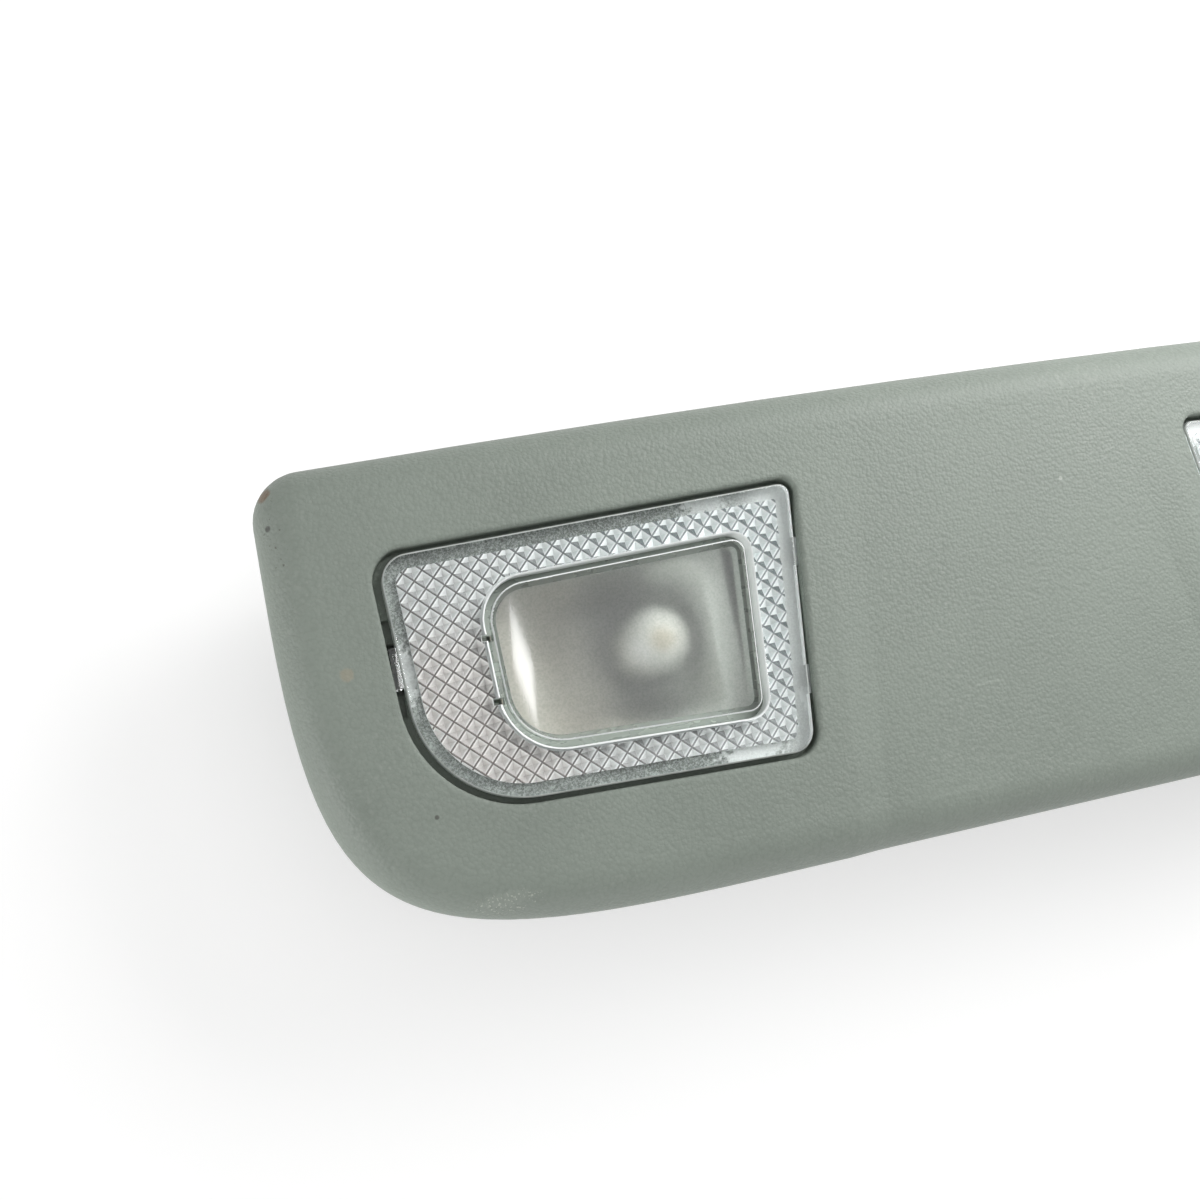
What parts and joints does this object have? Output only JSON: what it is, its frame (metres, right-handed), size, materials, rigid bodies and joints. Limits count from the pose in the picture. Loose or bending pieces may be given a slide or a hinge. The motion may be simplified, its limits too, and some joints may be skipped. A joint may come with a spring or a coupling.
{
  "type": "car overhead reading lamp",
  "caption": "Long moulded overhead lamp for a car: grey bezel with a clear prismatic lens at each end, a frosted push-button window in each lens, bulbs and switches behind.",
  "frame": {"origin": "middle of the rear mounting plane, under the middle of the face", "axes": "+Z out of the lit face, +X along the length, +Y towards the arched upper edge"},
  "size_m": [0.2122, 0.067, 0.0385],
  "materials": {
    "bezel_plastic": "grey-green, fine leather grain",
    "housing_plastic": "grey, as moulded",
    "lens_clear": "clear acrylic with moulded prisms",
    "window_frosted": "clear acrylic, finely frosted",
    "reflector_grey": "pale grey, satin",
    "bulb_glass": "clear glass",
    "holder_plastic": "black, heat resistant",
    "connector_plastic": "natural nylon",
    "switch_plastic": "black",
    "plunger_plastic": "natural acetal",
    "contact_brass": "bare strip",
    "screw_steel": "zinc plated",
    "spring_steel": "drawn wire"
  },
  "bodies": {
    "root": {"bezel": "bezel_plastic", "lamp_base": "housing_plastic", "earth_strip": "contact_brass", "supply_strip": "contact_brass", "connector_housing": "connector_plastic", "connector_pins": "contact_brass", "base_screws": "screw_steel", "left_lens": "lens_clear", "right_lens": "lens_clear", "left_reflector": "reflector_grey", "right_reflector": "reflector_grey", "left_bulb": "bulb_glass", "right_bulb": "bulb_glass", "left_bulb_holder": "holder_plastic", "right_bulb_holder": "holder_plastic", "left_lamp_strip": "contact_brass", "right_lamp_strip": "contact_brass", "left_switch_body": "switch_plastic", "right_switch_body": "switch_plastic", "left_switch_spring": "spring_steel", "right_switch_spring": "spring_steel"},
    "left_button": {"left_window": "window_frosted"},
    "right_button": {"right_window": "window_frosted"},
    "left_plunger": {"left_switch_plunger": "plunger_plastic"},
    "right_plunger": {"right_switch_plunger": "plunger_plastic"}
  },
  "joints": [
    {"name": "left_window_push", "type": "hinge", "parent": "root", "child": "left_button", "pos_m": [-0.0806, 0.00108, 0.031], "axis": [0, 1, 0], "range_deg": [0, 3], "stiffness_Nm_per_rad": 0.7, "springref_deg": -5.73},
    {"name": "right_window_push", "type": "hinge", "parent": "root", "child": "right_button", "pos_m": [0.0806, 0.00108, 0.031], "axis": [0, -1, 0], "range_deg": [0, 3], "stiffness_Nm_per_rad": 0.7, "springref_deg": -5.73},
    {"name": "left_plunger_slide", "type": "slide", "parent": "root", "child": "left_plunger", "axis": [0, 0, -1], "range_m": [0, 0.0023], "deforming": ["left_switch_spring"]},
    {"name": "right_plunger_slide", "type": "slide", "parent": "root", "child": "right_plunger", "axis": [0, 0, -1], "range_m": [0, 0.0023], "deforming": ["right_switch_spring"]}
  ],
  "couplings": [
    {"joint": "left_plunger_slide", "follows": "left_window_push", "m_per_rad": 0.0415},
    {"joint": "right_plunger_slide", "follows": "right_window_push", "m_per_rad": 0.0415}
  ]
}
